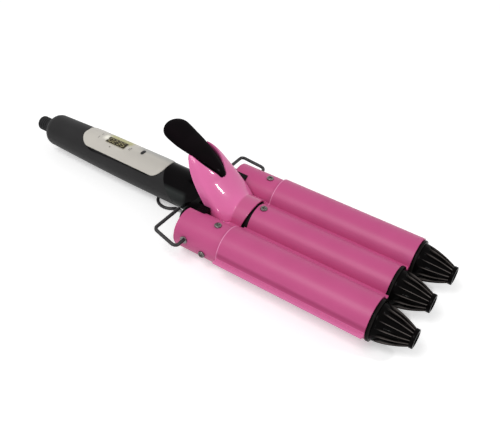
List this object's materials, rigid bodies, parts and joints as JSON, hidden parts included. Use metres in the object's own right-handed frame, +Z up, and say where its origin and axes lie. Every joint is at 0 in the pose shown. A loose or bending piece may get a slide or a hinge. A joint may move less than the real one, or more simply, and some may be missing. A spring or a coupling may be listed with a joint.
{
  "type": "hair waver",
  "caption": "Triple-barrel hair waver in pink and black, with a sprung wave clamp and thumb lever, cool tips, a folding wire stand and a handle with display and power button.",
  "frame": {"origin": "centre of the bounding box's underside, under the middle of the whole object as it lies with the clamp closed", "axes": "+X along the barrels towards the cool tips, +Y to the far side of the picture, +Z up, the side the clamp opens to"},
  "size_m": [0.3468, 0.1138, 0.071],
  "materials": {
    "handle_matte": "fine matte charcoal",
    "screw_steel": "bright zinc-plated",
    "panel_grey": "warm light grey satin",
    "bezel": "clear moulded frame, warm tint",
    "display_dark": "dark smoked window",
    "module_grey": "moulded display housing",
    "board_green": "green solder mask",
    "switch_black": "small moulded switch",
    "button_black": "satin black",
    "collar_gloss": "polished black",
    "gland_rubber": "matte black",
    "insert_black": "heat-resistant black",
    "pink_coating": "satin pink ceramic-look coating",
    "pink_gloss": "glossy pink lacquer",
    "heater_alloy": "cast alloy",
    "tip_black": "glossy black",
    "spring_steel": "oiled spring wire",
    "eyelet_alloy": "pressed eyelet",
    "wire_black": "black coated wire",
    "bracket_black": "black lacquered pressing",
    "lever_gloss": "glossy black"
  },
  "bodies": {
    "handle": {"handle_upper": "handle_matte", "handle_lower": "handle_matte", "handle_screws": "screw_steel", "control_panel": "panel_grey", "display_bezel": "bezel", "display_lens": "display_dark", "display_module": "module_grey", "circuit_board": "board_green", "tact_switch": "switch_black", "front_collar": "collar_gloss", "yoke_screws": "screw_steel", "plug_right": "insert_black", "plug_left": "insert_black", "barrel_right": "pink_coating", "barrel_left": "pink_coating", "heater_right": "heater_alloy", "heater_left": "heater_alloy", "tip_right": "tip_black", "tip_left": "tip_black", "top_screws": "screw_steel", "side_screws": "screw_steel", "trough_plate": "pink_coating", "hinge_pin": "screw_steel", "clamp_spring": "spring_steel", "stand_eyelets": "eyelet_alloy"},
    "clamp": {"clamp_plate": "pink_coating", "clamp_hood": "pink_gloss", "hinge_bracket": "bracket_black", "middle_barrel": "pink_coating", "middle_neck": "insert_black", "heater_middle": "heater_alloy", "tip_middle": "tip_black", "middle_screw": "screw_steel", "thumb_lever": "lever_gloss", "lever_screws": "screw_steel"},
    "stand": {"wire_stand": "wire_black"},
    "button": {"power_button": "button_black"},
    "gland": {"cord_gland": "gland_rubber"}
  },
  "joints": [
    {"name": "clamp_hinge", "type": "hinge", "parent": "handle", "child": "clamp", "pos_m": [0.00475, 0, 0.0224], "axis": [0, -1, 0], "range_deg": [0, 30], "stiffness_Nm_per_rad": 0.5, "springref_deg": -22.92, "deforming": ["clamp_spring"]},
    {"name": "stand_hinge", "type": "hinge", "parent": "handle", "child": "stand", "pos_m": [0.00975, 0, 0.0194], "axis": [0, -1, 0], "range_deg": [0, 92]},
    {"name": "power_press", "type": "slide", "parent": "handle", "child": "button", "axis": [0, 0, -1], "range_m": [0, 0.0005], "stiffness_N_per_m": 800, "springref_m": -0.0005},
    {"name": "gland_swivel", "type": "hinge", "parent": "handle", "child": "gland", "pos_m": [-0.15935, 0, 0.0181], "axis": [1, 0, 0], "continuous": true}
  ]
}
